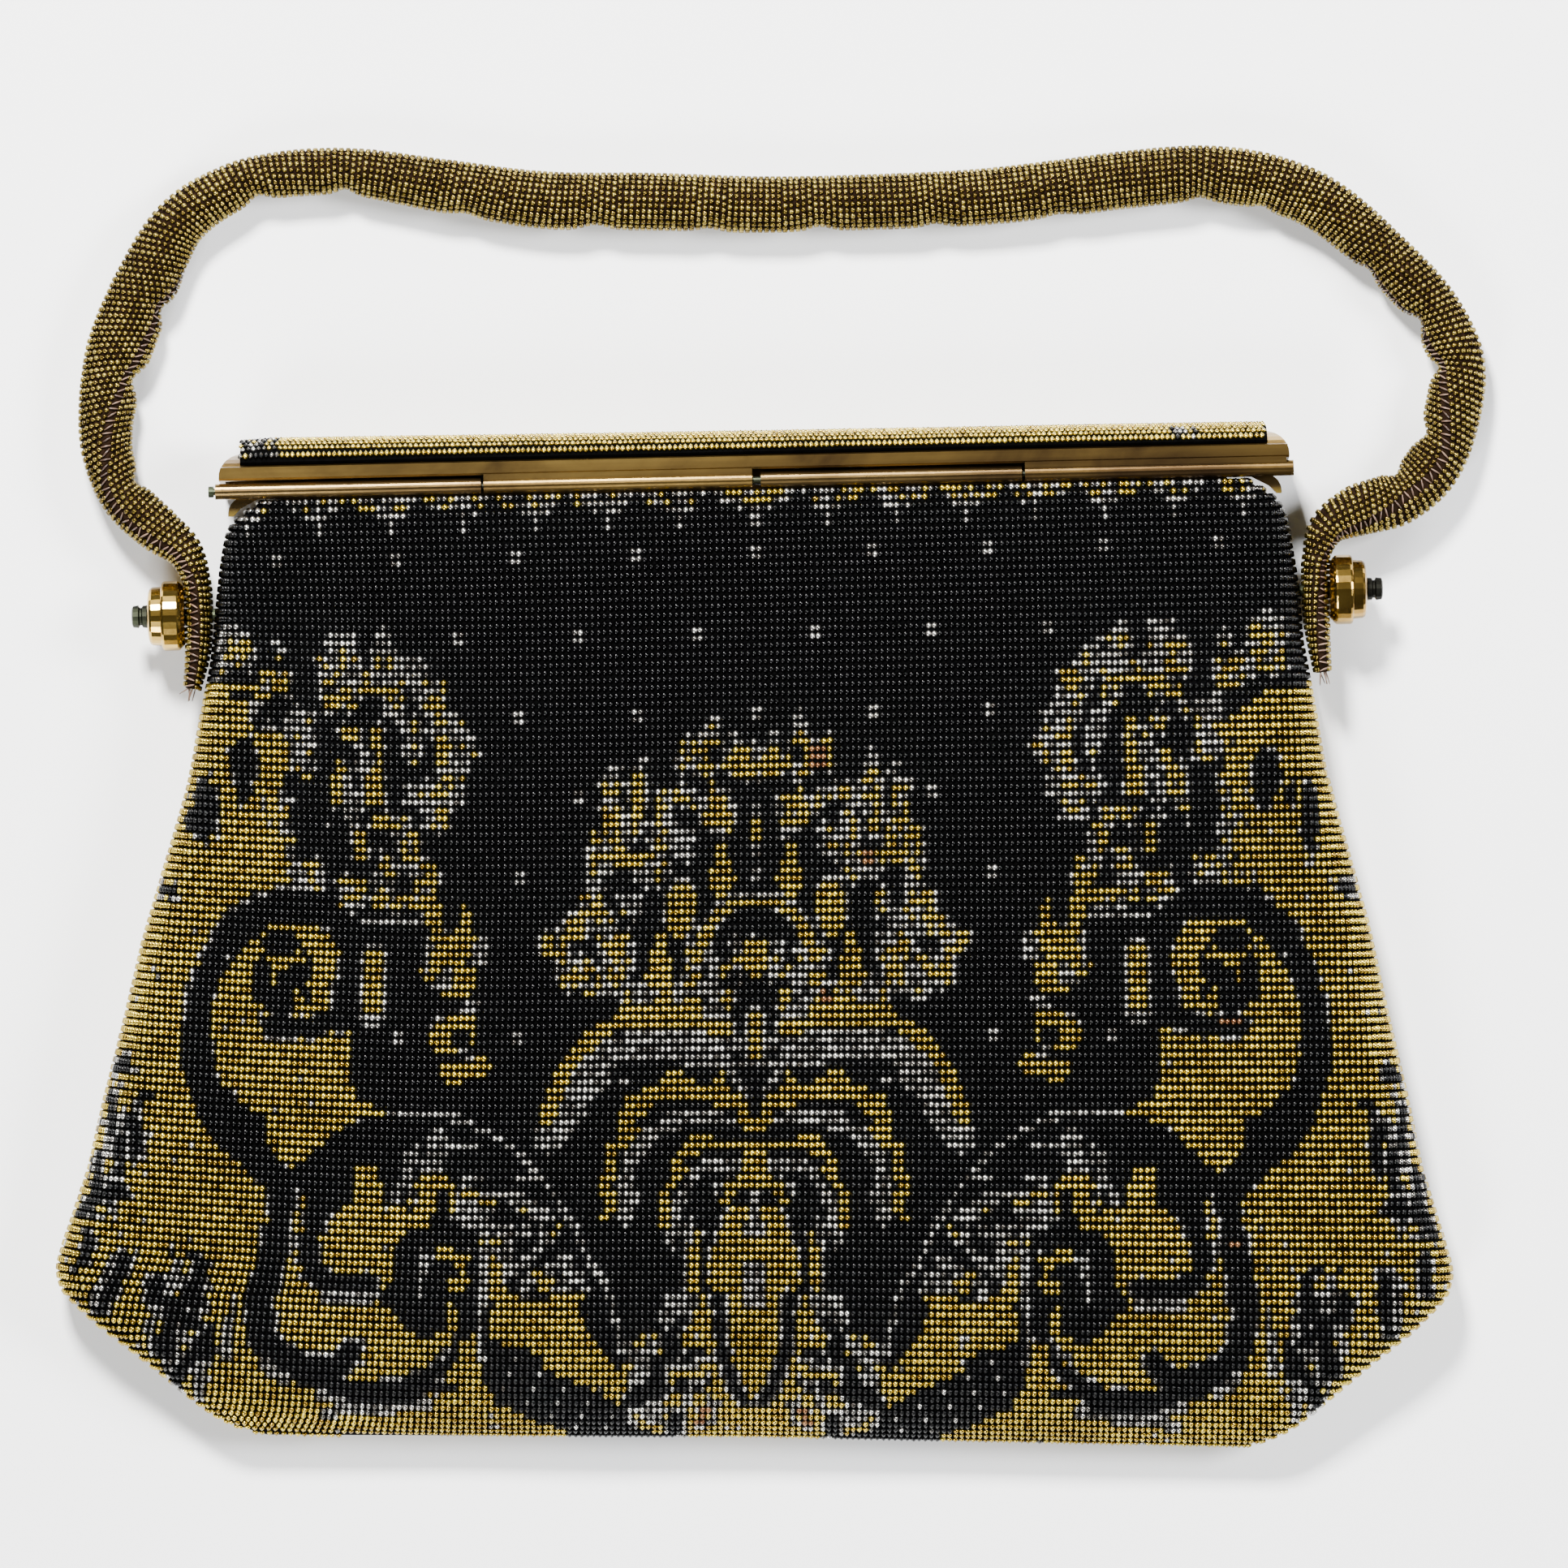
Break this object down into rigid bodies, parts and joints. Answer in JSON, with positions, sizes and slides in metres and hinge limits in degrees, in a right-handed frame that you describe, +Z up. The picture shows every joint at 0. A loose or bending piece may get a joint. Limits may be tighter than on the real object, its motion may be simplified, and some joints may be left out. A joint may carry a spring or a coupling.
{
  "type": "beaded purse",
  "caption": "Beaded evening purse lying on its back: hollow cloth bag in a brass frame, arched lid on a piano hinge, stepped side knobs and a soft beaded tube handle",
  "frame": {"origin": "centre of the outline on the surface that the purse lies on", "axes": "+X across the purse to the picture's right, +Y from the bottom fold towards the lid and the handle, +Z up out of the front panel"},
  "size_m": [0.2594, 0.2358, 0.022],
  "materials": {
    "beaded_cloth": "cloth sewn all over with small glossy beads, black with gold and silver ornament",
    "gold_beads": "cloth sewn with small gold beads",
    "bronze_beads": "soft tube sewn with small bronze beads",
    "aged_brass": "worn brass sheet with brown tarnish",
    "bright_brass": "polished turned brass",
    "dark_brass": "dark greenish tarnish"
  },
  "bodies": {
    "purse": {"bag_body": "beaded_cloth", "front_frame": "aged_brass", "back_frame": "aged_brass", "hinge_pin": "dark_brass", "handle": "bronze_beads", "knob_left": "bright_brass", "knob_right": "bright_brass", "stud_left": "dark_brass", "stud_right": "dark_brass"},
    "lid": {"lid_bar": "aged_brass", "lid_band": "gold_beads"}
  },
  "joints": [
    {"name": "lid_hinge", "type": "hinge", "parent": "purse", "child": "lid", "pos_m": [-0.00148, 0.0564, 0.0175], "axis": [1, 0, 0], "range_deg": [0, 100]}
  ]
}
